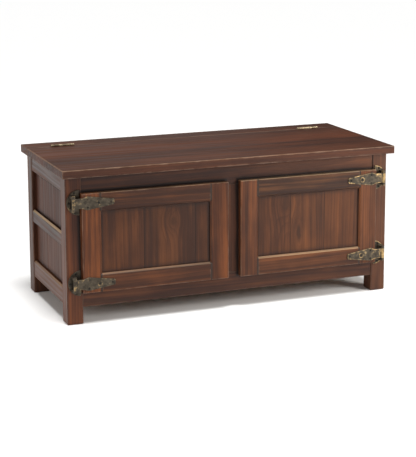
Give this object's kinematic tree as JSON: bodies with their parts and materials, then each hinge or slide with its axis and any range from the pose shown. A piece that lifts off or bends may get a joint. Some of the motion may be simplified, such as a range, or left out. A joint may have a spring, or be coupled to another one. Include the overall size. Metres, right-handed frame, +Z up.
{
  "type": "wooden chest",
  "caption": "Low wooden chest with a hinged lid, two overlay frame-and-panel doors on tapered strap hinges, panelled sides and square post feet.",
  "frame": {"origin": "on the floor, under the middle of the lid", "axes": "+X to the right along the length, +Y to the back, +Z up; the doors face -Y"},
  "size_m": [1.1, 0.49, 0.4862],
  "materials": {
    "frame_wood": "dark reddish brown stain, satin varnish",
    "door_wood": "dark reddish brown stain, satin varnish",
    "panel_wood": "dark reddish brown stain, satin varnish",
    "lid_wood": "dark reddish brown stain, satin varnish",
    "inner_wood": "light stain, unpolished",
    "aged_brass": "antique brass, darkened and rubbed bright on its edges",
    "hinge_brass": "worn brass",
    "screws": "darkened brass screws with slotted heads",
    "catch_plastic": "dark brown moulded plastic",
    "strike_steel": "zinc plated steel"
  },
  "bodies": {
    "carcass": {"post_front_left": "frame_wood", "post_front_right": "frame_wood", "post_rear_left": "frame_wood", "post_rear_right": "frame_wood", "front_bottom_rail": "frame_wood", "front_top_rail": "frame_wood", "front_centre_stile": "frame_wood", "rear_bottom_rail": "frame_wood", "rear_top_rail": "frame_wood", "rear_panel": "panel_wood", "left_bottom_rail": "frame_wood", "left_middle_rail": "frame_wood", "left_top_rail": "frame_wood", "left_lower_panel": "panel_wood", "left_upper_panel": "panel_wood", "right_bottom_rail": "frame_wood", "right_middle_rail": "frame_wood", "right_top_rail": "frame_wood", "right_lower_panel": "panel_wood", "right_upper_panel": "panel_wood", "floor_panel": "inner_wood", "lid_rear_strip": "lid_wood", "magnetic_catch_left": "catch_plastic", "magnetic_catch_right": "catch_plastic", "left_upper_hinge_plate": "aged_brass", "left_lower_hinge_plate": "aged_brass", "right_upper_hinge_plate": "aged_brass", "right_lower_hinge_plate": "aged_brass", "door_hinge_pins": "aged_brass", "hinge_plate_screws": "screws", "catch_screws": "screws", "lid_hinge_left_fixed_leaf": "hinge_brass", "lid_hinge_right_fixed_leaf": "hinge_brass", "lid_hinge_pins": "hinge_brass", "lid_hinge_fixed_screws": "screws"},
    "lid": {"lid_panel": "lid_wood", "lid_batten_left": "inner_wood", "lid_batten_right": "inner_wood", "lid_hinge_left_moving_leaf": "hinge_brass", "lid_hinge_right_moving_leaf": "hinge_brass", "lid_hinge_moving_screws": "screws"},
    "left_door": {"left_door_outer_stile": "door_wood", "left_door_inner_stile": "door_wood", "left_door_top_rail": "door_wood", "left_door_bottom_rail": "door_wood", "left_door_panel": "panel_wood", "left_door_strike_plate": "strike_steel", "left_door_strap_screws": "screws", "left_upper_hinge_strap": "aged_brass", "left_lower_hinge_strap": "aged_brass"},
    "right_door": {"right_door_outer_stile": "door_wood", "right_door_inner_stile": "door_wood", "right_door_top_rail": "door_wood", "right_door_bottom_rail": "door_wood", "right_door_panel": "panel_wood", "right_door_strike_plate": "strike_steel", "right_door_strap_screws": "screws", "right_upper_hinge_strap": "aged_brass", "right_lower_hinge_strap": "aged_brass"}
  },
  "joints": [
    {"name": "lid_hinge", "type": "hinge", "parent": "carcass", "child": "lid", "pos_m": [0, 0.163, 0.4825], "axis": [-1, 0, 0], "range_deg": [0, 180]},
    {"name": "left_door_hinge", "type": "hinge", "parent": "carcass", "child": "left_door", "pos_m": [-0.516, -0.238, 0.2525], "axis": [0, 0, -1], "range_deg": [0, 180]},
    {"name": "right_door_hinge", "type": "hinge", "parent": "carcass", "child": "right_door", "pos_m": [0.516, -0.238, 0.2525], "axis": [0, 0, 1], "range_deg": [0, 180]}
  ]
}
